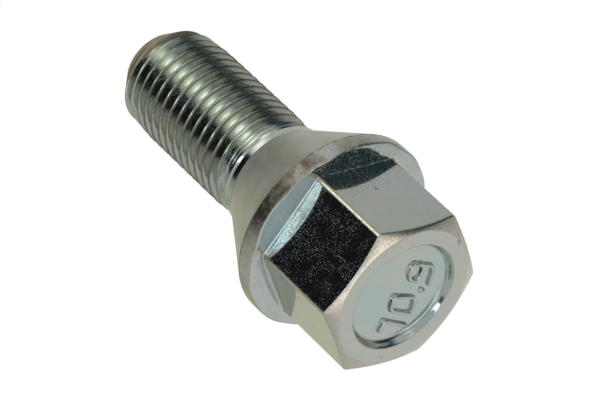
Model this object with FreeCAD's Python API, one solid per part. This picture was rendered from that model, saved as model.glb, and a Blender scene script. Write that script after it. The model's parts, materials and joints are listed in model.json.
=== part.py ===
"""Wheel bolt: one piece of forged steel with a hexagon head, a collar, a conical seat and a shank.

The bolt stands on its head. The head's flat rim lies on z = 0 and the shank points along +Z.
All sizes are in millimetres.
"""
import FreeCAD
import Part
import math
import os

# Hexagon head
ACROSS_FLATS = 19.0
HEX_HEIGHT = 12.4
HEX_CORNER_ROUND = 0.6
HEX_FOOT_ROUND = 0.3
HEAD_CHAMFER_ANGLE = 23.0

# Flat rim of the head and the shallow dish inside it
RIM_INSET = 0.5
RIM_WIDTH = 2.0
DISH_DEPTH = 0.9
DISH_WALL_LEAN = 0.3
DISH_LIP_ROUND = 0.2
DISH_FOOT_ROUND = 0.35

# Collar under the hexagon
COLLAR_MARGIN = 1.55
COLLAR_HEIGHT = 2.2
COLLAR_TOP_ROUND = 0.45

# Conical seat: the full angle of the cone
SEAT_ANGLE = 60.0

# Shank, from the point of the seat's cone that meets the neck to the end face.
# The point's angle is the lean of its side from the axis.
SHANK_LENGTH = 25.0
THREAD_DIAMETER = 13.75
NECK_RELIEF = 0.2
NECK_FILLET = 1.5
NECK_LENGTH = 0.7
POINT_LENGTH = 3.2
POINT_ANGLE = 38.0

# Sizes that follow from those above
HEX_CORNER_RADIUS = ACROSS_FLATS / math.sqrt(3.0)
RIM_RADIUS = ACROSS_FLATS / 2.0 - RIM_INSET
DISH_MOUTH_RADIUS = RIM_RADIUS - RIM_WIDTH
DISH_FLOOR_RADIUS = DISH_MOUTH_RADIUS - DISH_WALL_LEAN
COLLAR_RADIUS = HEX_CORNER_RADIUS + COLLAR_MARGIN
SEAT_BASE_Z = HEX_HEIGHT + COLLAR_HEIGHT
THREAD_RADIUS = THREAD_DIAMETER / 2.0
NECK_RADIUS = THREAD_RADIUS - NECK_RELIEF
SEAT_SLOPE = math.tan(math.radians(SEAT_ANGLE / 2.0))
SEAT_TIP_Z = SEAT_BASE_Z + (COLLAR_RADIUS - NECK_RADIUS) / SEAT_SLOPE
NECK_END_Z = SEAT_TIP_Z + NECK_LENGTH
END_Z = SEAT_TIP_Z + SHANK_LENGTH
POINT_RADIUS = THREAD_RADIUS - POINT_LENGTH * math.tan(math.radians(POINT_ANGLE))

AXIS_FOOT = FreeCAD.Vector(0, 0, 0)
AXIS = FreeCAD.Vector(0, 0, 1)


def rounded_face(corners):
    """Face inside a closed outline of (point, radius) corners, where a radius of 0 leaves a corner sharp."""
    stops = []
    for index, (point, radius) in enumerate(corners):
        to_last = (corners[index - 1][0] - point).normalize()
        to_next = (corners[(index + 1) % len(corners)][0] - point).normalize()
        half_angle = to_last.getAngle(to_next) / 2.0
        reach = radius / math.tan(half_angle)
        inward = (to_last + to_next).normalize() if radius else to_last
        sagitta = radius / math.sin(half_angle) - radius
        stops.append((point + to_last * reach, point + inward * sagitta, point + to_next * reach, radius))
    edges = []
    for index, (start, middle, end, radius) in enumerate(stops):
        edges.append(Part.LineSegment(stops[index - 1][2], start).toShape())
        if radius:
            edges.append(Part.Arc(start, middle, end).toShape())
    return Part.Face(Part.Wire(edges))


def turned(profile):
    """Solid of revolution about Z from a profile of (radius, height, corner radius) stations."""
    corners = [(FreeCAD.Vector(radius, 0, height), corner) for radius, height, corner in profile]
    return rounded_face(corners).revolve(AXIS_FOOT, AXIS, 360)


def shank_and_collar():
    """Collar, conical seat, neck and shank, turned as one bar."""
    return turned([
        (0, HEX_HEIGHT, 0),
        (COLLAR_RADIUS, HEX_HEIGHT, COLLAR_TOP_ROUND),
        (COLLAR_RADIUS, SEAT_BASE_Z, 0),
        (NECK_RADIUS, SEAT_TIP_Z, NECK_FILLET),
        (NECK_RADIUS, NECK_END_Z, 0),
        (THREAD_RADIUS, NECK_END_Z + NECK_RELIEF, 0),
        (THREAD_RADIUS, END_Z - POINT_LENGTH, 0),
        (POINT_RADIUS, END_Z, 0),
        (0, END_Z, 0),
    ])


def hexagon_bar():
    """Hexagon with rounded corners, from the rim into the collar, with corners on the X axis."""
    corners = []
    for index in range(6):
        angle = math.radians(60.0 * index)
        point = FreeCAD.Vector(math.cos(angle), math.sin(angle), 0) * HEX_CORNER_RADIUS
        corners.append((point, HEX_CORNER_ROUND))
    return rounded_face(corners).extrude(AXIS * SEAT_BASE_Z)


def chamfer_envelope():
    """Turned form that takes the hexagon's corners off at the rim."""
    drop = COLLAR_RADIUS - RIM_RADIUS
    rise = drop * math.tan(math.radians(HEAD_CHAMFER_ANGLE))
    return turned([
        (0, 0, 0),
        (RIM_RADIUS, 0, 0),
        (COLLAR_RADIUS, rise, 0),
        (COLLAR_RADIUS, SEAT_BASE_Z, 0),
        (0, SEAT_BASE_Z, 0),
    ])


def dish():
    """Shallow dish pressed into the head: a leaning wall with a rounded foot."""
    return turned([
        (0, 0, 0),
        (DISH_MOUTH_RADIUS, 0, 0),
        (DISH_FLOOR_RADIUS, DISH_DEPTH, DISH_FOOT_ROUND),
        (0, DISH_DEPTH, 0),
    ])


def edges_at(shape, height, is_wanted):
    """Edges of a shape that lie in the level plane at a height and pass a test."""
    tolerance = 1e-4
    level = []
    for edge in shape.Edges:
        box = edge.BoundBox
        if abs(box.ZMin - height) < tolerance and abs(box.ZMax - height) < tolerance and is_wanted(edge):
            level.append(edge)
    return level


def is_outline_piece(edge):
    """True for an edge between two corners, as in the hexagon's foot, and false for a whole circle."""
    return len(edge.Vertexes) == 2


def is_dish_lip(edge):
    """True for the circle where the dish meets the rim."""
    return not is_outline_piece(edge) and edge.Curve.Radius < RIM_RADIUS - RIM_WIDTH / 2.0


def wheel_bolt():
    """The whole bolt as one solid."""
    head = hexagon_bar().common(chamfer_envelope()).cut(dish())
    head = head.makeFillet(DISH_LIP_ROUND, edges_at(head, 0.0, is_dish_lip))
    bolt = shank_and_collar().fuse(head).removeSplitter()
    return bolt.makeFillet(HEX_FOOT_ROUND, edges_at(bolt, HEX_HEIGHT, is_outline_piece))


os.makedirs("parts", exist_ok=True)
wheel_bolt().exportStep("parts/wheel_bolt.step")
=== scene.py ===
"""Looks of the wheel bolt: plated steel with a rolled thread, worn edges and raised strength numbers.

Meshes are shaped in millimetres, on the sizes of the frame, and brought to metres when they become objects.
"""
import json
import logging
import math
from collections.abc import Callable, Iterable
from dataclasses import dataclass, field
from enum import Enum, IntEnum
from functools import partial

import bmesh
import bpy
from bmesh.types import BMEdge, BMesh, BMFace, BMVert
from bpy.types import Material, Node, NodeSocket, NodeTree, Object
from mathutils import Matrix, Vector, noise


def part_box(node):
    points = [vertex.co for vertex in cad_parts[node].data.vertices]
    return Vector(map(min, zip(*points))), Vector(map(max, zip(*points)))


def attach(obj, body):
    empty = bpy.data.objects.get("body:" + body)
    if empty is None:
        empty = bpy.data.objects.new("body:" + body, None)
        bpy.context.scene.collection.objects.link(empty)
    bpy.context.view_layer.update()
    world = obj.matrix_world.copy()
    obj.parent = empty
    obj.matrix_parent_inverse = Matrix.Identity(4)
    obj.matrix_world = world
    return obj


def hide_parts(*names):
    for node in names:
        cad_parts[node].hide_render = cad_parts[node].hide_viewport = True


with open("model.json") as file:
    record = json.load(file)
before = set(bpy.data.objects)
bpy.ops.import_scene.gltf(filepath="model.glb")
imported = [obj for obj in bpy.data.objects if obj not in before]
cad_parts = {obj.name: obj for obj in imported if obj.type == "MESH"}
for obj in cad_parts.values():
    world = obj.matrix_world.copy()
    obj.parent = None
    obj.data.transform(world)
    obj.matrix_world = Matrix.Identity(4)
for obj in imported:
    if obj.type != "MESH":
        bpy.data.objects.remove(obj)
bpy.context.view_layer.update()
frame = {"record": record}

LOG = logging.getLogger("wheel_bolt")
MM = 0.001
WELD = 1e-5
NODE = "wheel_bolt"
BODY = "root"

Place = Callable[[int], Vector]
RoundedEdges = tuple[list[BMEdge], float]
Color = tuple[float, float, float]
Source = NodeSocket | float | Vector | tuple[float, ...]


class Zone(IntEnum):
    """Surfaces of the bolt that were finished apart, in the order of the material slots."""

    DISH = 0
    RIM = 1
    FLAT = 2
    SHELF = 3
    BAND = 4
    SEAT = 5
    THREAD = 6
    POINT = 7
    NECK = 8


@dataclass(frozen=True)
class BoltSizes:
    """Main sizes in millimetres: the first four are the frame's, and the others are the bolt's own."""

    collar_radius: float
    end_height: float
    thread_radius: float
    thread_top: float
    across_flats: float = 19.0
    hex_height: float = 12.4
    corner_round: float = 0.6
    rim_radius: float = 9.0
    chamfer_angle: float = 23.0
    dish_mouth_radius: float = 7.0
    dish_floor_radius: float = 6.7
    dish_depth: float = 0.9
    seat_base: float = 14.6
    seat_angle: float = 60.0
    land_radius: float = 6.95
    land_end: float = 25.05
    neck_end: float = 25.55
    neck_radius: float = 6.35
    point_lean: float = 38.0

    @classmethod
    def from_frame(cls) -> "BoltSizes":
        """Sizes with the collar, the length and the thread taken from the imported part.

        Returns:
            The sizes in millimetres.
        """
        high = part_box(NODE)[1]
        thread = next(mount for mount in frame["record"]["mounts"] if mount["name"] == "thread")
        top = thread["pos_m"][2] / MM + thread["dims"]["length_mm"] / 2
        return cls(high.x / MM, high.z / MM, thread["dims"]["r_mm"], top)


class HexOutline:
    """Rounded hexagon as a round of stations, close together at the corners, with corners on the X axis."""

    FLAT_STEPS = 24
    CORNER_STEPS = 8
    SIDES = 6
    STATIONS = SIDES * (FLAT_STEPS + CORNER_STEPS)
    SIDE_TURN = math.tau / SIDES

    def __init__(self, sizes: BoltSizes) -> None:
        """Works out the straight half of a flat.

        Args:
            sizes: Sizes of the bolt.
        """
        self.apothem = sizes.across_flats / 2
        self.round = sizes.corner_round
        self.half_flat = (self.apothem - self.round) * math.tan(self.SIDE_TURN / 2)

    def turn(self, side: int) -> Matrix:
        """Turn about the axis that brings the X axis to the middle of a side."""
        return Matrix.Rotation((side + 0.5) * self.SIDE_TURN, 3, "Z")

    def point(self, station: int, height: float = 0.0) -> Vector:
        """Place of a station on the outline.

        Args:
            station: Number of the station, from 0 at the start of the first flat.
            height: Height above the rim.

        Returns:
            The point.
        """
        side, step = divmod(station % self.STATIONS, self.FLAT_STEPS + self.CORNER_STEPS)
        if step <= self.FLAT_STEPS:
            along = -self.half_flat * math.cos(math.pi * step / self.FLAT_STEPS)
            return self.turn(side) @ Vector((self.apothem, along, height))
        bend = self.SIDE_TURN * (step - self.FLAT_STEPS) / self.CORNER_STEPS
        middle = Vector((self.apothem - self.round, self.half_flat, height))
        return self.turn(side) @ (middle + self.round * Vector((math.cos(bend), math.sin(bend), 0)))

    def even_angle(self, station: int) -> float:
        """Angle of a station, in radians, if all stations were evenly spaced."""
        return self.SIDE_TURN / 2 + (station - self.FLAT_STEPS / 2) * math.tau / self.STATIONS

    def angle(self, station: int, evenness: float = 0.0) -> float:
        """Polar angle of a station.

        Args:
            station: Number of the station.
            evenness: 0 keeps the hexagon's own spacing and 1 spaces the stations evenly.

        Returns:
            The angle in radians.
        """
        even = self.even_angle(station)
        spot = self.point(station)
        own = math.atan2(spot.y, spot.x)
        gap = math.remainder(own - even, math.tau)
        return even + (1 - evenness) * gap

    def circle(self, station: int, radius: float, height: float, evenness: float = 0.0) -> Vector:
        """Place of a station on a level circle round the axis.

        Args:
            station: Number of the station.
            radius: Radius of the circle.
            height: Height of the circle.
            evenness: Share of the even spacing, from 0 to 1.

        Returns:
            The point.
        """
        angle = self.angle(station, evenness)
        return Vector((radius * math.cos(angle), radius * math.sin(angle), height))

    def ring(self, radius: float, height: float, evenness: float = 0.0) -> Place:
        """Level circle round the axis, as a function that gives the place of each station."""
        return partial(self.circle, radius=radius, height=height, evenness=evenness)


class RingSkin:
    """Skin grown ring by ring from one closed loop of edges, one vertex to a station."""

    def __init__(self, mesh: BMesh, stations: int) -> None:
        """Starts with no loop.

        Args:
            mesh: Mesh that takes the skin.
            stations: Vertices in each ring.
        """
        self.mesh = mesh
        self.stations = stations
        self.station = mesh.verts.layers.int.new("station")
        self.loop: list[BMEdge] = []

    def start(self, place: Place, zone: Zone) -> None:
        """Lays the first ring as a filled disc.

        Args:
            place: Gives the point of each station.
            zone: Surface that the disc belongs to.
        """
        disc = bmesh.ops.create_circle(self.mesh, cap_ends=True, segments=self.stations, radius=1.0)["verts"]
        for number, vert in enumerate(disc):
            vert[self.station] = number
            vert.co = place(number)
        self.loop = list(disc[0].link_faces[0].edges)
        disc[0].link_faces[0].material_index = zone

    def grow(self, place: Place, zone: Zone) -> list[BMEdge]:
        """Extrudes the last ring to a new one.

        Args:
            place: Gives the point of each station of the new ring.
            zone: Surface that the new faces belong to.

        Returns:
            The edges of the new ring.
        """
        made = bmesh.ops.extrude_edge_only(self.mesh, edges=self.loop)["geom"]
        for item in made:
            if isinstance(item, BMVert):
                item.co = place(item[self.station])
            elif isinstance(item, BMFace):
                item.material_index = zone
        self.loop = [item for item in made if isinstance(item, BMEdge)]
        return self.loop

    def close(self) -> None:
        """Drops the station numbers once every ring is in place."""
        self.mesh.verts.layers.int.remove(self.station)


def eased(share: float) -> float:
    """Smooth step from 0 to 1 as a share goes from 0 to 1."""
    held = min(1.0, max(0.0, share))
    return held * held * (3 - 2 * held)


def rounded(mesh: BMesh, edges: Iterable[BMEdge], radius: float, segments: int = 4) -> None:
    """Rounds a run of edges.

    Args:
        mesh: Mesh that holds the edges.
        edges: Edges to round.
        radius: Distance from each edge to the new ones, in millimetres.
        segments: Faces across the round.
    """
    bmesh.ops.bevel(
        mesh,
        geom=list(edges),
        offset=radius,
        offset_type="OFFSET",
        segments=segments,
        profile=0.5,
        affect="EDGES",
        material=-1,
    )


@dataclass
class HexHead:
    """Hexagon with its chamfered end, flat rim and pressed dish, down to the shelf of the collar."""

    sizes: BoltSizes
    outline: HexOutline
    lip_round: float = 0.2
    foot_round: float = 0.35
    rim_round: float = 0.14
    chamfer_round: float = 0.12
    hex_foot_round: float = 0.12
    hold: float = 0.45
    edges: list[RoundedEdges] = field(default_factory=list)

    def chamfer_edge(self, station: int, lift: float = 0.0) -> Vector:
        """Place of a station on the scalloped edge between the turned chamfer and the flats.

        Args:
            station: Number of the station.
            lift: Distance above that edge, along the flats.

        Returns:
            The point.
        """
        reach = self.outline.point(station).length - self.sizes.rim_radius
        height = reach * math.tan(math.radians(self.sizes.chamfer_angle))
        return self.outline.point(station, height + lift)

    def build(self, skin: RingSkin) -> None:
        """Grows the head from the middle of the dish to the foot of the flats.

        Args:
            skin: Skin to grow.
        """
        size = self.sizes
        ring = self.outline.ring
        skin.start(ring(size.dish_floor_radius - 3 * self.hold, size.dish_depth), Zone.DISH)
        skin.grow(ring(size.dish_floor_radius - 1.5 * self.hold, size.dish_depth), Zone.DISH)
        foot = skin.grow(ring(size.dish_floor_radius, size.dish_depth), Zone.DISH)
        lip = skin.grow(ring(size.dish_mouth_radius, 0.0), Zone.DISH)
        skin.grow(ring(size.dish_mouth_radius + self.hold, 0.0), Zone.RIM)
        skin.grow(ring(size.rim_radius - self.hold, 0.0), Zone.RIM)
        rim = skin.grow(ring(size.rim_radius, 0.0), Zone.RIM)
        chamfer = skin.grow(self.chamfer_edge, Zone.RIM)
        skin.grow(partial(self.chamfer_edge, lift=self.hold), Zone.FLAT)
        skin.grow(partial(self.outline.point, height=size.hex_height - 2 * self.hold), Zone.FLAT)
        hex_foot = skin.grow(partial(self.outline.point, height=size.hex_height), Zone.FLAT)
        self.edges = [
            (foot, self.foot_round),
            (lip, self.lip_round),
            (rim, self.rim_round),
            (chamfer, self.chamfer_round),
            (hex_foot, self.hex_foot_round),
        ]


@dataclass
class SeatCollar:
    """Collar under the hexagon, with its sloping shelf, rough band, conical seat and neck."""

    sizes: BoltSizes
    outline: HexOutline
    shelf_fall: float = 0.3
    shelf_round: float = 0.22
    base_round: float = 0.12
    seat_round: float = 0.1
    land_round: float = 0.06
    wave: float = 0.32
    wave_count: float = 4.0
    crease: float = 0.06
    crease_share: float = 0.1
    shelf_shares: tuple[float, ...] = (0.2, 0.35, 0.5, 0.65, 0.8)
    lump: float = 0.13
    lump_length: float = 1.7
    hold: float = 0.4
    seat_rings: int = 7
    edges: list[RoundedEdges] = field(default_factory=list)

    def edge(self, station: int) -> Vector:
        """Place of a station on the collar's edge, as uneven as the forging left it.

        Args:
            station: Number of the station.

        Returns:
            The point.
        """
        ray = self.outline.circle(station, 1.0, 0.0)
        stray = self.wave * noise.noise(self.wave_count * ray)
        height = self.sizes.hex_height + self.shelf_fall + stray
        return (self.sizes.collar_radius + stray) * ray + Vector((0, 0, height))

    def shelf(self, station: int, share: float, sunk: float = 0.0) -> Vector:
        """Place of a station on the lumpy shelf, between the hexagon's foot and the collar's edge.

        Args:
            station: Number of the station.
            share: 0 at the hexagon and 1 at the collar's edge.
            sunk: Depth of the place in the collar.

        Returns:
            The point.
        """
        spot = self.outline.point(station, self.sizes.hex_height).lerp(self.edge(station), share)
        swell = self.lump * share * math.sin(math.pi * share * share)
        return spot + Vector((0, 0, sunk + swell * noise.noise(spot / self.lump_length)))

    def build(self, skin: RingSkin) -> list[BMEdge]:
        """Grows the collar from the foot of the flats to the end of the neck.

        Args:
            skin: Skin to grow.

        Returns:
            The edges of the last ring, where the thread begins.
        """
        size = self.sizes
        ring = self.outline.ring
        skin.grow(partial(self.shelf, share=self.crease_share, sunk=self.crease), Zone.SHELF)
        for share in self.shelf_shares:
            skin.grow(partial(self.shelf, share=share), Zone.SHELF)
        shelf = skin.grow(partial(self.shelf, share=1.0), Zone.SHELF)
        skin.grow(ring(size.collar_radius, size.seat_base - self.hold), Zone.BAND)
        base = skin.grow(ring(size.collar_radius, size.seat_base), Zone.BAND)
        drop = size.collar_radius - size.land_radius
        rise = drop / math.tan(math.radians(size.seat_angle / 2))
        for number in range(1, self.seat_rings + 1):
            share = number / self.seat_rings
            place = ring(size.collar_radius - share * drop, size.seat_base + share * rise, share)
            seat = skin.grow(place, Zone.SEAT)
        land = skin.grow(ring(size.land_radius, size.land_end, 1.0), Zone.NECK)
        skin.grow(ring(size.neck_radius, size.land_end + self.hold / 2, 1.0), Zone.NECK)
        last = skin.grow(ring(size.neck_radius, size.neck_end, 1.0), Zone.NECK)
        self.edges = [
            (shelf, self.shelf_round),
            (base, self.base_round),
            (seat, self.seat_round),
            (land, self.land_round),
        ]
        return last


@dataclass
class RolledThread:
    """Right-hand thread with rolled crests, a fading start at the neck and a plain chamfered point."""

    sizes: BoltSizes
    pitch: float = 1.5
    depth: float = 1.0
    crest_height: float = 37.0
    step_height: float = 0.15
    step_rise: float = 0.3
    run_in: float = 3.6
    first_depth: float = 0.65
    wear: float = 0.28
    worn_length: float = 4.5
    point_foot: float = 0.35
    merge: float = 0.002
    steps: int = 192

    # Half of one thread, from the crest to the root: share of the pitch, share of the depth.
    # The crest has the shallow seam that rolling leaves between its two lips.
    FORM = (
        (0.0, 0.08),
        (0.02, 0.055),
        (0.036, 0.0),
        (0.05, 0.02),
        (0.073, 0.1),
        (0.145, 0.35),
        (0.223, 0.6),
        (0.306, 0.85),
        (0.35, 0.96),
        (0.5, 1.0),
    )

    def profile(self) -> list[tuple[float, float]]:
        """One whole pitch from crest to crest.

        Returns:
            Pairs of height above the first crest and depth below the crest radius, in millimetres.
        """
        rising = [(share * self.pitch, part * self.depth) for share, part in self.FORM]
        falling = [(self.pitch - height, deep) for height, deep in reversed(rising[:-1])]
        return rising + falling

    def crest_limit(self, height: float) -> float:
        """Greatest radius at a height, less at the neck, near the end and on the point.

        Args:
            height: Height above the rim.

        Returns:
            The radius in millimetres.
        """
        size = self.sizes
        full = size.thread_radius
        start = size.neck_radius + self.step_rise
        run_in = start + (full - start) * eased((height - self.start()) / self.run_in)
        worn = full - self.wear * eased((height - size.thread_top) / self.worn_length + 1)
        point = full - max(0.0, height - size.thread_top) * math.tan(math.radians(size.point_lean))
        return min(run_in, worn, point)

    def start(self) -> float:
        """Height at which the thread begins, past the small step at the end of the neck."""
        return self.sizes.neck_end + self.step_height

    def fade(self, height: float) -> float:
        """Share of the full depth at a height, small where the dies ran in beside the neck."""
        share = eased((height - self.start()) / self.run_in)
        edge = eased(2 * (height - self.start()) / self.pitch)
        return edge * (self.first_depth + (1 - self.first_depth) * share)

    def build(self, mesh: BMesh) -> tuple[list[BMEdge], list[BMEdge]]:
        """Spins one pitch along its helix and cuts it level at both ends.

        Args:
            mesh: Empty mesh that takes the thread.

        Returns:
            The edges of the lower cut and of the upper cut.
        """
        below = math.ceil((self.crest_height - self.start()) / self.pitch) + 1
        start = self.crest_height - below * self.pitch
        turns = math.ceil((self.sizes.end_height - start) / self.pitch) + 1
        comb = []
        for turn in range(turns):
            comb += [(start + turn * self.pitch + up, deep) for up, deep in self.profile()[:-1]]
        points = [mesh.verts.new((self.sizes.thread_radius - deep, 0, up)) for up, deep in comb]
        lines = [mesh.edges.new(pair) for pair in zip(points, points[1:])]
        bmesh.ops.spin(
            mesh,
            geom=points + lines,
            cent=(0, 0, 0),
            axis=(0, 0, 1),
            dvec=(0, 0, self.pitch / self.steps),
            angle=math.tau,
            steps=self.steps,
        )
        bmesh.ops.remove_doubles(mesh, verts=mesh.verts, dist=self.merge)
        for vert in mesh.verts:
            self.settle(vert)
        lower = self.cut(mesh, self.start(), keep_above=True)
        upper = self.cut(mesh, self.sizes.end_height, keep_above=False)
        for face in mesh.faces:
            on_point = face.calc_center_median().z > self.sizes.thread_top + self.point_foot
            face.material_index = Zone.POINT if on_point else Zone.THREAD
        return lower, upper

    def settle(self, vert: BMVert) -> None:
        """Brings a vertex of the full thread to its run-in depth and under the limit of its height.

        Args:
            vert: Vertex to move along its radius.
        """
        radius = math.hypot(vert.co.x, vert.co.y)
        limit = self.crest_limit(vert.co.z)
        deep = (self.sizes.thread_radius - radius) * self.fade(vert.co.z)
        sunk = limit - self.sizes.thread_radius
        crest = min(limit, self.sizes.thread_radius - deep + max(sunk, -self.wear))
        vert.co.x *= crest / radius
        vert.co.y *= crest / radius

    def cut(self, mesh: BMesh, height: float, keep_above: bool) -> list[BMEdge]:
        """Cuts the thread level and clears one side.

        Args:
            mesh: Mesh that holds the thread.
            height: Height of the cut.
            keep_above: True clears what is below.

        Returns:
            The edges of the cut.
        """
        made = bmesh.ops.bisect_plane(
            mesh,
            geom=[*mesh.verts, *mesh.edges, *mesh.faces],
            dist=WELD,
            plane_co=(0, 0, height),
            plane_no=(0, 0, 1),
            clear_outer=not keep_above,
            clear_inner=keep_above,
        )
        return [item for item in made["geom_cut"] if isinstance(item, BMEdge)]


class BoltSkin:
    """Whole skin of the bolt as one closed mesh."""

    def __init__(self, sizes: BoltSizes) -> None:
        """Makes the sub-assemblies.

        Args:
            sizes: Sizes of the bolt.
        """
        self.outline = HexOutline(sizes)
        self.head = HexHead(sizes, self.outline)
        self.collar = SeatCollar(sizes, self.outline)
        self.thread = RolledThread(sizes)

    def build(self) -> Object:
        """Shapes the skin, with a flat end on the shank, and links it to the scene.

        Returns:
            The finished object.
        """
        mesh = bmesh.new()
        lower, upper = self.thread.build(mesh)
        bmesh.ops.edgeloop_fill(mesh, edges=upper, mat_nr=Zone.POINT)
        skin = RingSkin(mesh, self.outline.STATIONS)
        self.head.build(skin)
        neck = self.collar.build(skin)
        skin.close()
        bridge = bmesh.ops.bridge_loops(mesh, edges=[*neck, *lower])
        for face in bridge["faces"]:
            face.material_index = Zone.NECK
        for edges, radius in [*self.head.edges, *self.collar.edges]:
            rounded(mesh, edges, radius)
        return to_object("bolt_steel", mesh)


@dataclass(frozen=True)
class Stroke:
    """Line of a raised number: its corners on the dish floor in millimetres, and whether it closes."""

    corners: tuple[tuple[float, float], ...]
    closed: bool = False
    bend: float = 0.7
    lower: float = 0.0

    def path(self, steps: int = 6) -> list[Vector]:
        """Points along the line, with its corners rounded.

        Args:
            steps: Steps round each corner.

        Returns:
            The points in order.
        """
        spots = [Vector(corner) for corner in self.corners]
        count = len(spots)
        points = []
        for number, spot in enumerate(spots):
            if not self.closed and number in (0, count - 1):
                points.append(spot)
                continue
            to_last = spots[number - 1] - spot
            to_next = spots[(number + 1) % count] - spot
            start = spot + to_last * min(0.5, self.bend / to_last.length)
            end = spot + to_next * min(0.5, self.bend / to_next.length)
            for step in range(steps + 1):
                share = step / steps
                points.append(start.lerp(spot, share).lerp(spot.lerp(end, share), share))
        return points


@dataclass
class StrengthNumerals:
    """Strength grade of the bolt, raised on the floor of the dish."""

    floor: float
    rise: float = 0.42
    sink: float = 0.05
    half_width: float = 0.38
    half_top: float = 0.13
    end_steps: int = 5
    end_turn: float = 85.0

    STROKES = (
        Stroke(((-5.02, 0.94), (-3.72, 0.64), (-3.32, 4.33)), bend=0.3),
        Stroke(((-0.61, -0.56), (0.26, 2.78), (-1.75, 4.05), (-2.34, 0.35)), closed=True),
        Stroke(((1.2, 3.1), (1.32, 3.26))),
        Stroke(((3.83, -1.3), (4.32, 0.7), (2.05, 1.41), (1.86, -0.3)), closed=True, bend=1.0),
        Stroke(((4.2, 0.2), (4.56, 2.33), (2.32, 3.44)), bend=1.1, lower=0.004),
    )
    ACROSS = (-1.0, -0.92, -0.84, -0.75, -0.66, -0.56, -0.45, -0.2, 0.0)

    def height(self, away: float) -> float:
        """Height of a stroke over the floor, at a distance from its middle line."""
        fall = eased((away - self.half_top) / (self.half_width - self.half_top))
        return self.rise * (1 - fall) - self.sink * fall

    def build(self) -> Object:
        """Sweeps all strokes into one piece.

        Returns:
            The finished object.
        """
        mesh = bmesh.new()
        for stroke in self.STROKES:
            self.sweep(mesh, stroke)
        return to_object("strength_numerals", mesh)

    def sweep(self, mesh: BMesh, stroke: Stroke) -> None:
        """Extrudes a section along a stroke, round its ends.

        Args:
            mesh: Mesh that takes the stroke.
            stroke: Stroke to follow.
        """
        across = [*self.ACROSS, *(-share for share in reversed(self.ACROSS[:-1]))]
        point = mesh.verts.layers.int.get("point") or mesh.verts.layers.int.new("point")
        stops = self.stops(stroke)
        verts = [mesh.verts.new() for share in across]
        for number, vert in enumerate(verts):
            vert[point] = number
        loop = [mesh.edges.new(pair) for pair in zip(verts, verts[1:] + verts[:1])]
        first = loop
        for number, (spot, along, past) in enumerate(stops):
            if number:
                made = bmesh.ops.extrude_edge_only(mesh, edges=loop)["geom"]
                verts = [item for item in made if isinstance(item, BMVert)]
                loop = [item for item in made if isinstance(item, BMEdge)]
            side = Vector((-along.y, along.x))
            width = math.sqrt(max(0.0, 1 - (past / self.half_width) ** 2))
            for vert in verts:
                reach = across[vert[point]] * self.half_width * width
                up = self.height(math.hypot(reach, past)) - stroke.lower
                flat = spot + side * reach
                vert.co = (flat.x, flat.y, self.floor - up)
        if not stroke.closed:
            bmesh.ops.edgeloop_fill(mesh, edges=first)
            bmesh.ops.edgeloop_fill(mesh, edges=loop)

    def stops(self, stroke: Stroke) -> list[tuple[Vector, Vector, float]]:
        """Sections of a stroke.

        Args:
            stroke: Stroke to follow.

        Returns:
            The place of each section, its direction, and its distance past the end of the stroke.
        """
        path = stroke.path()
        count = len(path)
        stops = []
        for number, spot in enumerate(path):
            last = path[number - 1] if number or stroke.closed else spot
            after = path[(number + 1) % count] if number < count - 1 or stroke.closed else spot
            stops.append((spot, (after - last).normalized(), 0.0))
        if stroke.closed:
            return [*stops, stops[0]]
        reaches = [self.half_width * math.sin(math.radians(self.end_turn) * step / self.end_steps)
                   for step in range(1, self.end_steps + 1)]
        head, tail = stops[0], stops[-1]
        before = [(head[0] - head[1] * reach, head[1], reach) for reach in reversed(reaches)]
        behind = [(tail[0] + tail[1] * reach, tail[1], reach) for reach in reaches]
        return [*before, *stops, *behind]


def to_object(name: str, mesh: BMesh) -> Object:
    """Brings a mesh from millimetres to metres and makes an object of it at the origin.

    Args:
        name: Name of the piece.
        mesh: Finished mesh, which is freed.

    Returns:
        The object, linked to the scene.
    """
    bmesh.ops.remove_doubles(mesh, verts=mesh.verts, dist=WELD)
    bmesh.ops.recalc_face_normals(mesh, faces=mesh.faces)
    bmesh.ops.scale(mesh, vec=(MM, MM, MM), verts=mesh.verts)
    for face in mesh.faces:
        face.smooth = True
    data = bpy.data.meshes.new(name)
    mesh.to_mesh(data)
    mesh.free()
    made = bpy.data.objects.new(name, data)
    bpy.context.scene.collection.objects.link(made)
    return made


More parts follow.
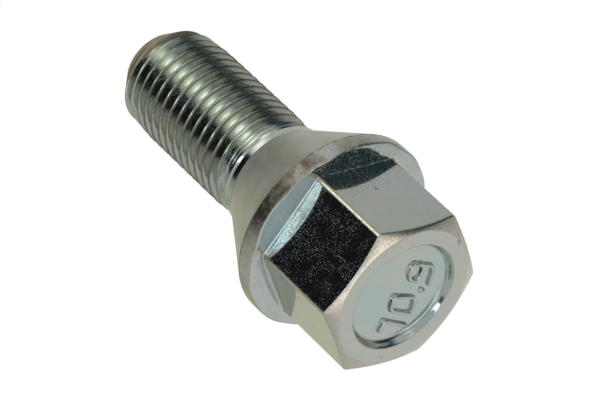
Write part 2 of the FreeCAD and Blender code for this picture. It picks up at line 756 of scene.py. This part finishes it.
class NodeSheet:
    """Node tree with short ways to add and join nodes."""

    def __init__(self, tree: NodeTree) -> None:
        """Clears the tree of a material, a world or a node group."""
        self.tree = tree
        tree.nodes.clear()

    def add(self, kind: str, inputs: dict[str | int, Source] | None = None, **settings: object) -> Node:
        """Adds a node, sets it and joins its inputs.

        Args:
            kind: Blender's name of the node type.
            inputs: Value or source socket for each input, by name or number.
            settings: Properties of the node.

        Returns:
            The node.
        """
        node = self.tree.nodes.new(kind)
        for name, value in settings.items():
            setattr(node, name, value)
        for name, value in (inputs or {}).items():
            self.feed(node.inputs[name], value)
        return node

    def feed(self, socket: NodeSocket, value: Source) -> None:
        """Sets an input to a value, or joins it to a source socket.

        Args:
            socket: Input to feed.
            value: Constant or output socket.
        """
        if isinstance(value, NodeSocket):
            self.tree.links.new(value, socket)
        else:
            socket.default_value = value

    def math(self, operation: str, *values: Source, clamp: bool = False) -> NodeSocket:
        """Result of a sum on numbers, kept between 0 and 1 if it is clamped."""
        node = self.add("ShaderNodeMath", dict(enumerate(values)), operation=operation, use_clamp=clamp)
        return node.outputs[0]

    def vector(self, operation: str, *values: Source) -> NodeSocket:
        """Result of a sum on vectors that gives a vector."""
        node = self.add("ShaderNodeVectorMath", dict(enumerate(values)), operation=operation)
        return node.outputs["Vector"]

    def measure(self, operation: str, *values: Source) -> NodeSocket:
        """Result of a sum on vectors that gives a number."""
        node = self.add("ShaderNodeVectorMath", dict(enumerate(values)), operation=operation)
        return node.outputs["Value"]

    def cloud(self, place: Source, scale: Source, detail: float, roughness: float = 0.5) -> NodeSocket:
        """Cloudy value at a place, about 0.5."""
        inputs = {"Vector": place, "Scale": scale, "Detail": detail, "Roughness": roughness}
        return self.add("ShaderNodeTexNoise", inputs).outputs["Fac"]

    def ramp(self, value: Source, low: Source, high: Source, start: Source = 0.0,
             end: Source = 1.0) -> NodeSocket:
        """Smooth step from a start to an end, as a value goes from low to high."""
        inputs = {"Value": value, "From Min": low, "From Max": high, "To Min": start, "To Max": end}
        return self.add("ShaderNodeMapRange", inputs, interpolation_type="SMOOTHSTEP").outputs["Result"]

    # A Mix node's numbers and colours share their names, so its sockets go by number.
    def mix(self, share: Source, first: Source, second: Source) -> NodeSocket:
        """Mix of two colours, by the share of the second."""
        inputs = {0: share, 6: first, 7: second}
        return self.add("ShaderNodeMix", inputs, data_type="RGBA", clamp_factor=True).outputs[2]

    def blend(self, share: Source, first: Source, second: Source) -> NodeSocket:
        """Mix of two numbers, by the share of the second."""
        inputs = {0: share, 2: first, 3: second}
        return self.add("ShaderNodeMix", inputs, data_type="FLOAT", clamp_factor=True).outputs[0]


class Socket(Enum):
    """Kinds of socket of a node group."""

    FLOAT = "NodeSocketFloat"
    VECTOR = "NodeSocketVector"
    COLOR = "NodeSocketColor"


class EffectGroup:
    """Node group that several materials share, with named inputs and outputs."""

    def __init__(self, name: str, inputs: dict[Socket, str], outputs: dict[Socket, str]) -> None:
        """Makes the group's tree and its sockets.

        Args:
            name: Name of the group.
            inputs: Names of the inputs of each kind, with a space between two names.
            outputs: Names of the outputs of each kind, in the same form.
        """
        self.tree = bpy.data.node_groups.new(name, "ShaderNodeTree")
        self.sheet = NodeSheet(self.tree)
        for side, sockets in (("INPUT", inputs), ("OUTPUT", outputs)):
            for kind, labels in sockets.items():
                for label in labels.split():
                    self.tree.interface.new_socket(label, in_out=side, socket_type=kind.value)
        self.source = self.sheet.add("NodeGroupInput").outputs
        self.result = self.sheet.add("NodeGroupOutput").inputs

    def give(self, **results: Source) -> None:
        """Joins the group's outputs."""
        for name, value in results.items():
            self.sheet.feed(self.result[name], value)

    def place(self, sheet: NodeSheet, **inputs: Source) -> bpy.types.bpy_prop_collection:
        """Outputs of the group, placed in a material with a value or a socket for each input."""
        return sheet.add("ShaderNodeGroup", inputs, node_tree=self.tree).outputs


def place_group() -> EffectGroup:
    """Distance from the axis, height above the rim and turn about the axis.

    Returns:
        The group, with lengths in the unit of the place and the turn in degrees.
    """
    group = EffectGroup("bolt_place", {Socket.VECTOR: "Vector"}, {Socket.FLOAT: "Radius Height Turn"})
    sheet = group.sheet
    parts = sheet.add("ShaderNodeSeparateXYZ", {0: group.source["Vector"]}).outputs
    level = sheet.add("ShaderNodeCombineXYZ", {0: parts["X"], 1: parts["Y"], 2: 0.0})
    radius = sheet.measure("LENGTH", level.outputs[0])
    turn = sheet.math("DEGREES", sheet.math("ARCTAN2", parts["Y"], parts["X"]))
    group.give(Radius=radius, Height=parts["Z"], Turn=turn)
    return group


def speck_group() -> EffectGroup:
    """Small pits and grains of the plating, denser in some patches.

    Returns:
        The group, with the grains' mask.
    """
    inputs = {Socket.VECTOR: "Vector", Socket.FLOAT: "Scale Level Amount"}
    group = EffectGroup("plating_specks", inputs, {Socket.FLOAT: "Mask"})
    sheet, source = group.sheet, group.source
    fine = sheet.cloud(source["Vector"], source["Scale"], 3.0, 0.6)
    patch = sheet.cloud(source["Vector"], sheet.math("MULTIPLY", source["Scale"], 0.12), 2.0)
    grain = sheet.ramp(fine, source["Level"], sheet.math("ADD", source["Level"], 0.13))
    cover = sheet.ramp(patch, 0.3, 0.65, 0.35, 1.0)
    group.give(Mask=sheet.math("MULTIPLY", sheet.math("MULTIPLY", grain, cover), source["Amount"]))
    return group


def line_group() -> EffectGroup:
    """Straight scratch between two points, broken up along its length.

    Returns:
        The group, with the scratch's mask.
    """
    inputs = {Socket.VECTOR: "Vector Start End", Socket.FLOAT: "Width"}
    group = EffectGroup("straight_scratch", inputs, {Socket.FLOAT: "Mask"})
    sheet, source = group.sheet, group.source
    along = sheet.vector("SUBTRACT", source["End"], source["Start"])
    run = sheet.vector("SUBTRACT", source["Vector"], source["Start"])
    reach = sheet.measure("DOT_PRODUCT", run, along)
    length = sheet.measure("DOT_PRODUCT", along, along)
    share = sheet.math("DIVIDE", reach, length, clamp=True)
    nearest = sheet.vector("MULTIPLY_ADD", along, share, source["Start"])
    away = sheet.measure("DISTANCE", source["Vector"], nearest)
    broken = sheet.ramp(sheet.cloud(source["Vector"], 4.0, 2.0), 0.36, 0.6, 0.15, 1.0)
    group.give(Mask=sheet.math("MULTIPLY", sheet.ramp(away, 0.0, source["Width"], 1.0, 0.0), broken))
    return group


def stain_and_shade_group() -> EffectGroup:
    """Patchy band about a middle value, full within the hold and gone at the reach.

    Returns:
        The group, with the band's mask.
    """
    inputs = {Socket.VECTOR: "Vector", Socket.FLOAT: "Value Middle Hold Reach Scale Least Amount"}
    group = EffectGroup("worn_and_shaded_band", inputs, {Socket.FLOAT: "Mask"})
    sheet, source = group.sheet, group.source
    away = sheet.math("ABSOLUTE", sheet.math("SUBTRACT", source["Value"], source["Middle"]))
    band = sheet.ramp(away, source["Hold"], source["Reach"], 1.0, 0.0)
    cloud = sheet.cloud(source["Vector"], source["Scale"], 3.0)
    cover = sheet.ramp(cloud, 0.4, 0.6, source["Least"], 1.0)
    group.give(Mask=sheet.math("MULTIPLY", sheet.math("MULTIPLY", band, cover), source["Amount"]))
    return group


def tint_group() -> EffectGroup:
    """Slow change of colour of the passivated zinc, between a cool and a warm tone.

    Returns:
        The group, with the colour.
    """
    inputs = {Socket.VECTOR: "Vector", Socket.FLOAT: "Scale", Socket.COLOR: "Cool Warm"}
    group = EffectGroup("passivation_tint", inputs, {Socket.COLOR: "Color"})
    sheet, source = group.sheet, group.source
    share = sheet.ramp(sheet.cloud(source["Vector"], source["Scale"], 4.0), 0.38, 0.62)
    group.give(Color=sheet.mix(share, source["Cool"], source["Warm"]))
    return group


def ring_group() -> EffectGroup:
    """Uneven fine rings round the axis, as turning and forming leave them.

    Returns:
        The group, with the rings' height.
    """
    group = EffectGroup("turned_rings", {Socket.FLOAT: "Radius Height Scale"}, {Socket.FLOAT: "Height"})
    sheet, source = group.sheet, group.source
    place = sheet.add("ShaderNodeCombineXYZ", {0: source["Radius"], 1: source["Height"], 2: 0.0})
    group.give(Height=sheet.cloud(place.outputs[0], source["Scale"], 2.0))
    return group


class Along(Enum):
    """Measure that a band of stain, wear and painted shade keeps to."""

    RADIUS = "Radius"
    HEIGHT = "Height"
    TURN = "Turn"


TAN: Color = (0.6, 0.53, 0.41)
# Brown lines along edges: partly dirt and partly painted shade.
BROWN_DIRT_AND_SHADE: Color = (0.24, 0.17, 0.09)
# Grey painted shade: thin dark lines in the creases at the foot of the dish and of the flats, and at the
# dish's lip.
GREY_SHADE_LINE: Color = (0.27, 0.28, 0.26)


@dataclass(frozen=True)
class StainAndShade:
    """Band of colour for dirt, rust bloom and rubbed plating, and for painted shade, in millimetres, or in
    degrees along the turn.

    It is full within the hold on both sides of its middle, and gone at the reach. It lies in patches, and
    between them its least share stays.
    """

    along: Along
    middle: float
    hold: float
    reach: float
    color: Color
    roughness: float = 0.4
    patch: float = 0.5
    least: float = 0.3
    amount: float = 1.0


@dataclass(frozen=True)
class Scratch:
    """Scratch or pit on a flat: its places are across the flat from its middle, and up from the rim."""

    side: int
    start: tuple[float, float]
    end: tuple[float, float]
    width: float = 0.08
    depth: float = 0.008

    def spots(self, outline: HexOutline) -> tuple[Vector, Vector]:
        """Ends of the scratch on the bolt.

        Args:
            outline: Hexagon that carries the scratch.

        Returns:
            Both ends in millimetres.
        """
        turn = outline.turn(self.side)
        start, end = (turn @ Vector((outline.apothem, across, up)) for across, up in (self.start, self.end))
        return start, end


@dataclass(frozen=True)
class Nick:
    """Dent between two places on the bolt, in millimetres."""

    start: tuple[float, float, float]
    end: tuple[float, float, float]
    width: float = 0.2
    depth: float = 0.1

    def spots(self, outline: HexOutline) -> tuple[Vector, Vector]:
        """Ends of the nick, which don't depend on the outline."""
        return Vector(self.start), Vector(self.end)


SCRATCHES = (
    Scratch(4, (3.56, 7.0), (0.81, 7.07), 0.12),
    Scratch(4, (-0.78, 9.64), (-0.53, 6.98)),
    Scratch(4, (-0.53, 7.1), (-1.49, 5.08)),
    Scratch(4, (-0.3, 7.1), (-1.2, 4.93)),
    Scratch(4, (0.12, 9.55), (0.17, 6.45)),
    Scratch(4, (-0.66, 5.64), (-0.77, 0.59), 0.14),
    Scratch(4, (0.37, 5.68), (0.69, 2.69), 0.14),
    Scratch(4, (0.69, 2.69), (0.38, 0.94)),
    Scratch(4, (0.33, 5.2), (0.31, 2.76)),
    Scratch(4, (0.52, 3.92), (0.89, 1.93)),
    Scratch(4, (-1.37, 3.17), (-3.6, 1.38)),
    Scratch(4, (-1.6, 4.98), (-3.95, 4.87)),
    Scratch(4, (3.08, 1.23), (1.28, 1.37)),
    Scratch(5, (-0.58, 12.2), (-0.5, 9.9), 0.13),
    Scratch(5, (0.25, 11.9), (0.1, 9.4)),
    Scratch(5, (-0.16, 8.38), (-0.05, 8.3), 0.22, 0.08),
    Scratch(1, (-2.1, 9.2), (0.6, 3.4), 0.12),
    Scratch(1, (1.2, 8.8), (1.5, 4.9)),
    Scratch(2, (2.6, 10.1), (1.1, 6.2)),
    Scratch(0, (-1.4, 3.1), (1.9, 5.6)),
)


@dataclass(frozen=True)
class Finish:
    """Finish of one surface: colours are linear, and lengths in millimetres."""

    cool: Color
    warm: Color
    roughness: float
    patch: float = 4.0
    speck: float = 0.2
    speck_level: float = 0.55
    speck_amount: float = 0.5
    speck_depth: float = 0.02
    speck_roughness: float = 0.15
    ring_depth: float = 0.0
    ring_spacing: float = 0.25
    stains_and_shades: tuple[StainAndShade, ...] = ()
    scratches: tuple[Scratch | Nick, ...] = ()


PLATING: dict[Zone, Finish] = {
    Zone.DISH: Finish(
        (0.49, 0.58, 0.57), (0.54, 0.575, 0.545), 0.06, patch=3.0, speck_amount=0.4, speck_depth=0.004,
        stains_and_shades=(
            # Painted shade: a thin grey line in the crease at the foot of the dish.
            StainAndShade(Along.RADIUS, 6.6, 0.05, 0.2, GREY_SHADE_LINE, 0.3, 1.0, 0.3, 0.5),
        ),
    ),
    Zone.RIM: Finish(
        (0.53, 0.57, 0.54), (0.58, 0.57, 0.51), 0.2, patch=1.6, speck_amount=0.5, speck_depth=0.005,
        ring_depth=0.012, ring_spacing=0.4,
        stains_and_shades=(
            StainAndShade(Along.RADIUS, 10.0, 0.85, 1.0, (0.66, 0.64, 0.58), 0.18, 0.6, 0.7),
            StainAndShade(Along.RADIUS, 10.0, 0.7, 0.95, (0.46, 0.36, 0.23), 0.42, 0.25, 0.0, 0.35),
            # Painted shade: a thin grey line along the dish's lip.
            StainAndShade(Along.RADIUS, 7.1, 0.03, 0.1, GREY_SHADE_LINE, 0.3, 1.0, 0.4, 0.6),
            # Partly dirt and partly painted shade: a thin brownish line along the rim's outer edge, at the
            # chamfer.
            StainAndShade(Along.RADIUS, 9.02, 0.02, 0.09, (0.4, 0.37, 0.3), 0.3, 0.8, 0.2, 0.5),
        ),
        scratches=(
            Nick((8.4, 2.7, 0.0), (9.3, 1.7, 0.15), 0.3, 0.3),
            Nick((-7.6, 3.4, 0.0), (-7.9, 2.6, 0.0), 0.15, 0.05),
        ),
    ),
    Zone.FLAT: Finish(
        (0.54, 0.58, 0.56), (0.56, 0.57, 0.52), 0.07, speck=0.17, speck_level=0.57, speck_amount=0.7,
        speck_depth=0.012, speck_roughness=0.22,
        stains_and_shades=(
            StainAndShade(Along.RADIUS, 10.9, 0.06, 0.15, TAN, 0.42, 0.3, 0.35),
            # Painted shade: a thin grey line in the crease at the foot of the flats.
            StainAndShade(Along.HEIGHT, 12.22, 0.03, 0.1, GREY_SHADE_LINE, 0.3, 1.0, 0.2, 0.5),
        ),
        scratches=SCRATCHES,
    ),
    Zone.SHELF: Finish(
        (0.5, 0.56, 0.57), (0.54, 0.57, 0.53), 0.1, patch=1.6, speck=0.25, speck_amount=0.8,
        speck_depth=0.02,
        stains_and_shades=(
            StainAndShade(Along.RADIUS, 12.55, 0.12, 0.35, TAN, 0.25, 0.6, 0.25),
        ),
    ),
    Zone.BAND: Finish(
        (0.58, 0.58, 0.54), (0.5, 0.47, 0.41), 0.36, patch=1.4, speck=0.4, speck_amount=1.0,
        speck_depth=0.05, ring_depth=0.01,
        stains_and_shades=(
            # Painted shade: a dark mottled patch on the side of the band toward the camera, standing in for
            # the dark reflection there.
            StainAndShade(Along.TURN, -79.0, 17.0, 32.0, (0.13, 0.105, 0.08), 0.45, 1.8, 0.75),
            # Partly dirt and partly painted shade: a thin brown line along the band's lower edge, above the
            # seat.
            StainAndShade(Along.HEIGHT, 14.62, 0.06, 0.2, BROWN_DIRT_AND_SHADE, 0.45, 0.8, 0.35),
            StainAndShade(Along.HEIGHT, 12.75, 0.05, 0.3, TAN, 0.35, 1.5, 0.2, 0.5),
        ),
    ),
    Zone.SEAT: Finish(
        (0.56, 0.58, 0.54), (0.5, 0.51, 0.44), 0.32, patch=2.2, speck_amount=0.6, speck_depth=0.01,
        ring_depth=0.006, ring_spacing=0.35,
        stains_and_shades=(
            # Partly dirt and partly painted shade: a thin brown line at the top of the seat, below the band.
            StainAndShade(Along.HEIGHT, 14.6, 0.04, 0.18, BROWN_DIRT_AND_SHADE, 0.45, 0.8, 0.3, 0.8),
        ),
    ),
    Zone.THREAD: Finish(
        (0.53, 0.58, 0.55), (0.54, 0.57, 0.49), 0.07, patch=2.0, speck=0.13, speck_amount=0.8,
        speck_depth=0.006,
        stains_and_shades=(
            # Partly a brown stain in the crests' seams and partly painted shade: a dark colour over the
            # crests and the outer flanks.
            StainAndShade(Along.RADIUS, 7.0, 0.17, 0.44, (0.15, 0.12, 0.085), 0.28, 0.12, 0.4),
            StainAndShade(Along.RADIUS, 5.85, 0.12, 0.3, (0.28, 0.23, 0.16), 0.35, 1.2, 0.1, 0.5),
        ),
    ),
    Zone.POINT: Finish(
        (0.42, 0.37, 0.29), (0.34, 0.29, 0.21), 0.5, patch=1.2, speck=0.3, speck_amount=0.8,
        speck_depth=0.03, ring_depth=0.01,
    ),
    Zone.NECK: Finish(
        (0.54, 0.58, 0.57), (0.57, 0.58, 0.52), 0.1, patch=2.0, speck_amount=0.5, speck_depth=0.008,
        ring_depth=0.004,
    ),
}


class PlatedSteel:
    """Materials of the bolt, one for each zone, from shared effects."""

    SCRATCH_ROUGHNESS = 0.28

    def __init__(self, outline: HexOutline) -> None:
        """Makes the shared effects.

        Args:
            outline: Hexagon that carries the scratches.
        """
        self.outline = outline
        self.place = place_group()
        self.specks = speck_group()
        self.line = line_group()
        self.stain_and_shade = stain_and_shade_group()
        self.tint = tint_group()
        self.rings = ring_group()
        self.materials = {zone: self.material(zone) for zone in Zone}

    def material(self, zone: Zone) -> Material:
        """Makes the material of one zone.

        Args:
            zone: Zone of the bolt.

        Returns:
            The material.
        """
        finish = PLATING[zone]
        made = bpy.data.materials.new("plating_" + zone.name.lower())
        made.use_nodes = True
        sheet = NodeSheet(made.node_tree)
        metres = sheet.add("ShaderNodeTexCoord").outputs["Object"]
        place = sheet.vector("DIVIDE", metres, (MM, MM, MM))
        spot = self.place.place(sheet, Vector=place)
        color = self.tint.place(sheet, Vector=place, Scale=1 / finish.patch, Cool=(*finish.cool, 1.0),
                                Warm=(*finish.warm, 1.0))["Color"]
        grain = self.specks.place(sheet, Vector=place, Scale=1 / finish.speck, Level=finish.speck_level,
                                  Amount=finish.speck_amount)["Mask"]
        rough = sheet.math("MULTIPLY_ADD", grain, finish.speck_roughness, finish.roughness)
        height = sheet.math("MULTIPLY", grain, finish.speck_depth)
        if finish.ring_depth:
            rings = self.rings.place(sheet, Radius=spot["Radius"], Height=spot["Height"],
                                     Scale=1 / finish.ring_spacing)
            height = sheet.math("MULTIPLY_ADD", rings["Height"], finish.ring_depth, height)
        # Bands of stain and wear, and bands of painted shade, tint the colour and set the roughness.
        for stain_and_shade in finish.stains_and_shades:
            mask = self.stain_and_shade.place(sheet, Vector=place, Value=spot[stain_and_shade.along.value], Middle=stain_and_shade.middle,
                                    Hold=stain_and_shade.hold, Reach=stain_and_shade.reach, Scale=1 / stain_and_shade.patch,
                                    Least=stain_and_shade.least, Amount=stain_and_shade.amount)["Mask"]
            color = sheet.mix(mask, color, (*stain_and_shade.color, 1.0))
            rough = sheet.blend(mask, rough, stain_and_shade.roughness)
        for scratch in finish.scratches:
            start, end = scratch.spots(self.outline)
            mask = self.line.place(sheet, Vector=place, Start=start, End=end, Width=scratch.width)["Mask"]
            rough = sheet.blend(mask, rough, self.SCRATCH_ROUGHNESS)
            height = sheet.math("MULTIPLY_ADD", mask, -scratch.depth, height)
        bump = sheet.add("ShaderNodeBump", {"Strength": 1.0, "Distance": MM, "Height": height})
        inputs = {"Metallic": 1.0, "Base Color": color, "Roughness": rough, "Normal": bump.outputs[0]}
        shader = sheet.add("ShaderNodeBsdfPrincipled", inputs)
        sheet.add("ShaderNodeOutputMaterial", {"Surface": shader.outputs[0]})
        return made

    def dress(self, piece: Object, zones: Iterable[Zone]) -> None:
        """Gives a piece the materials of its zones, in the order of its material slots."""
        for zone in zones:
            piece.data.materials.append(self.materials[zone])


@dataclass(frozen=True)
class Card:
    """Soft-edged panel, placed right, up and back from the camera, with half sizes and tilt in degrees."""

    toward: tuple[float, float, float]
    half_width: float
    half_height: float
    color: Color
    tilt: float = 0.0
    softness: float = 0.12


class Studio:
    """Light, backdrop and floor round the bolt, with lengths in millimetres."""

    WHITE = (1.0, 1.0, 1.0, 1.0)
    BACK: Color = (0.3, 0.3, 0.29)
    FRONT: Color = (0.54, 0.55, 0.55)
    ROOM_CHANGE = (0.05, 0.45)
    FLOOR_COLOR = (0.95, 0.95, 0.94, 1.0)
    FLOOR_GLOW = 0.42
    FLOOR_RADIUS = 260.0
    FLOOR_SIDES = 96
    FLOOR_GAP = 0.05
    FADE_START = 60.0
    FADE_END = 200.0
    CARDS: dict[str, Card] = {
        "table": Card((0.62, -0.52, -0.6), 67, 30, (0.72, 0.73, 0.71), tilt=47, softness=0.56),
        "floor_left": Card((-0.36, -0.92, -0.13), 39, 19, (0.57, 0.62, 0.49), tilt=24, softness=0.29),
        "left_wall": Card((-0.85, -0.42, -0.33), 20, 16, (0.58, 0.6, 0.56), softness=0.25),
        "backdrop": Card((-0.25, -0.05, -0.97), 23, 38, (0.6, 0.6, 0.46), tilt=-21, softness=0.32),
        "ceiling": Card((0.14, 0.73, -0.67), 19, 44, (0.59, 0.62, 0.6), tilt=-19, softness=0.27),
        "right_wall": Card((0.92, 0.31, -0.25), 22, 21, (0.38, 0.34, 0.3), tilt=7, softness=0.3),
        "left_flag": Card((-0.92, 0.23, 0.31), 39, 23, (0.01, 0.011, 0.014), tilt=-26, softness=0.09),
        "right_flag": Card((0.87, 0.46, 0.15), 18, 50, (0.03, 0.055, 0.07), tilt=-16, softness=0.19),
        "top_softbox": Card((-0.44, 0.83, 0.35), 30, 13, (1.4, 1.52, 1.38), tilt=-28, softness=0.25),
        "top_core": Card((-0.39, 0.81, 0.43), 12, 8, (3.5, 3.6, 3.5), tilt=-28, softness=0.12),
        "front_window": Card((-0.54, -0.08, 0.84), 14, 6, (1.9, 2.3, 2.5), tilt=-8, softness=0.03),
        "front_low": Card((0.0, -0.5, 0.87), 12, 10, (0.8, 0.95, 1.03), softness=0.12),
        "front_high": Card((0.32, 0.55, 0.77), 9, 7, (1.2, 1.25, 1.3), softness=0.08),
        "low_softbox": Card((0.62, -0.66, 0.43), 22, 8, (1.55, 1.42, 1.3), tilt=62, softness=0.1),
    }

    def __init__(self, camera: Object) -> None:
        """Keeps the axes of the camera, which the cards are placed by."""
        self.axes = camera.rotation_quaternion.to_matrix()

    def card_group(self) -> EffectGroup:
        """Mask of one rectangular card, from the direction that a ray takes.

        Returns:
            The group, with the mask.
        """
        inputs = {Socket.VECTOR: "Direction Facing Across Along", Socket.FLOAT: "Width Height Softness"}
        group = EffectGroup("studio_card", inputs, {Socket.FLOAT: "Mask"})
        sheet, source = group.sheet, group.source
        ahead = sheet.measure("DOT_PRODUCT", source["Direction"], source["Facing"])
        mask = sheet.math("GREATER_THAN", ahead, 0.0)
        for axis, half in (("Across", "Width"), ("Along", "Height")):
            side = sheet.measure("DOT_PRODUCT", source["Direction"], source[axis])
            reach = sheet.math("ABSOLUTE", sheet.math("DIVIDE", side, sheet.math("MAXIMUM", ahead, 0.001)))
            inner = sheet.math("SUBTRACT", source[half], source["Softness"])
            outer = sheet.math("ADD", source[half], source["Softness"])
            mask = sheet.math("MULTIPLY", mask, sheet.ramp(reach, inner, outer, 1.0, 0.0))
        group.give(Mask=mask)
        return group

    def build_world(self) -> None:
        """Makes the studio as the world: white to the camera, panels on a pale room to everything else."""
        world = bpy.data.worlds.new("studio")
        world.use_nodes = True
        bpy.context.scene.world = world
        sheet = NodeSheet(world.node_tree)
        ray = sheet.add("ShaderNodeTexCoord").outputs["Generated"]
        group = self.card_group()
        behind = sheet.measure("DOT_PRODUCT", ray, self.axes.col[2])
        color = sheet.mix(sheet.ramp(behind, *self.ROOM_CHANGE), (*self.BACK, 1.0), (*self.FRONT, 1.0))
        for card in self.CARDS.values():
            facing = Vector(card.toward).normalized()
            level = Vector((0, 1, 0)).cross(facing).normalized()
            across = Matrix.Rotation(math.radians(card.tilt), 3, facing) @ level
            mask = group.place(
                sheet,
                Direction=ray,
                Facing=self.axes @ facing,
                Across=self.axes @ across,
                Along=self.axes @ facing.cross(across),
                Width=math.tan(math.radians(card.half_width)),
                Height=math.tan(math.radians(card.half_height)),
                Softness=card.softness,
            )["Mask"]
            color = sheet.mix(mask, color, (*card.color, 1.0))
        seen = sheet.add("ShaderNodeLightPath").outputs["Is Camera Ray"]
        color = sheet.mix(seen, color, self.WHITE)
        light = sheet.add("ShaderNodeBackground", {"Color": color, "Strength": 1.0})
        sheet.add("ShaderNodeOutputWorld", {"Surface": light.outputs[0]})

    def build_floor(self) -> Object:
        """Makes the pale floor under the bolt, which shows from above only and fades out into the white.

        Returns:
            The floor.
        """
        mesh = bmesh.new()
        bmesh.ops.create_circle(mesh, cap_ends=True, segments=self.FLOOR_SIDES, radius=self.FLOOR_RADIUS)
        bmesh.ops.translate(mesh, vec=(0, 0, -self.FLOOR_GAP), verts=mesh.verts)
        floor = to_object("floor", mesh)
        if floor.data.polygons[0].normal.z < 0:
            floor.data.flip_normals()
        floor.data.materials.append(self.floor_material())
        return floor

    def floor_material(self) -> Material:
        """Makes the floor's matt white, which the background's white lifts and only the camera sees.

        Returns:
            The material.
        """
        made = bpy.data.materials.new("pale_floor")
        made.use_nodes = True
        sheet = NodeSheet(made.node_tree)
        far = sheet.measure("LENGTH", sheet.add("ShaderNodeTexCoord").outputs["Object"])
        near = sheet.ramp(far, self.FADE_START * MM, self.FADE_END * MM, 1.0, 0.0)
        seen = sheet.add("ShaderNodeLightPath").outputs["Is Camera Ray"]
        front = sheet.math("SUBTRACT", 1.0, sheet.add("ShaderNodeNewGeometry").outputs["Backfacing"])
        shown = sheet.math("MULTIPLY", sheet.math("MULTIPLY", near, seen), front)
        clear = sheet.add("ShaderNodeBsdfTransparent")
        matt = sheet.add("ShaderNodeBsdfDiffuse", {"Color": self.FLOOR_COLOR})
        glow = sheet.add("ShaderNodeEmission", {"Color": self.WHITE, "Strength": self.FLOOR_GLOW})
        pale = sheet.add("ShaderNodeAddShader", {0: matt.outputs[0], 1: glow.outputs[0]})
        both = sheet.add("ShaderNodeMixShader", {0: shown, 1: clear.outputs[0], 2: pale.outputs[0]})
        sheet.add("ShaderNodeOutputMaterial", {"Surface": both.outputs[0]})
        return made


@dataclass(frozen=True)
class PhotoCamera:
    """Camera of the picture, in the frame of the part: lengths in millimetres and angles in degrees."""

    azimuth: float = 13.368
    elevation: float = -37.154
    roll: float = -46.638
    distance: float = 466.0
    aim: tuple[float, float, float] = (-0.524, 1.937, 21.613)
    lens: float = 240.26
    sensor: float = 36.0

    def build(self) -> Object:
        """Makes the camera and hands it to the scene.

        Returns:
            The camera.
        """
        data = bpy.data.cameras.new("photo_camera")
        data.lens = self.lens
        data.sensor_width = self.sensor
        camera = bpy.data.objects.new("photo_camera", data)
        bpy.context.scene.collection.objects.link(camera)
        turn = math.radians(self.azimuth)
        rise = math.radians(self.elevation)
        back = Vector((math.sin(turn) * math.cos(rise), -math.cos(turn) * math.cos(rise), math.sin(rise)))
        camera.rotation_mode = "QUATERNION"
        roll = Matrix.Rotation(math.radians(self.roll), 4, "Z").to_quaternion()
        camera.rotation_quaternion = (-back).to_track_quat("-Z", "Y") @ roll
        camera.location = (Vector(self.aim) + back * self.distance) * MM
        bpy.context.scene.camera = camera
        return camera


def main() -> None:
    """Builds the bolt and the studio round it."""
    logging.basicConfig(level=logging.INFO)
    bpy.context.scene.view_settings.view_transform = "Standard"
    sizes = BoltSizes.from_frame()
    skin = BoltSkin(sizes)
    bolt = skin.build()
    numerals = StrengthNumerals(sizes.dish_depth).build()
    steel = PlatedSteel(skin.outline)
    steel.dress(bolt, Zone)
    steel.dress(numerals, [Zone.DISH])
    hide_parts(NODE)
    for piece in (bolt, numerals):
        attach(piece, BODY)
        LOG.info("%s: %d faces", piece.name, len(piece.data.polygons))
    studio = Studio(PhotoCamera().build())
    studio.build_world()
    studio.build_floor()


if __name__ == "__main__":
    main()
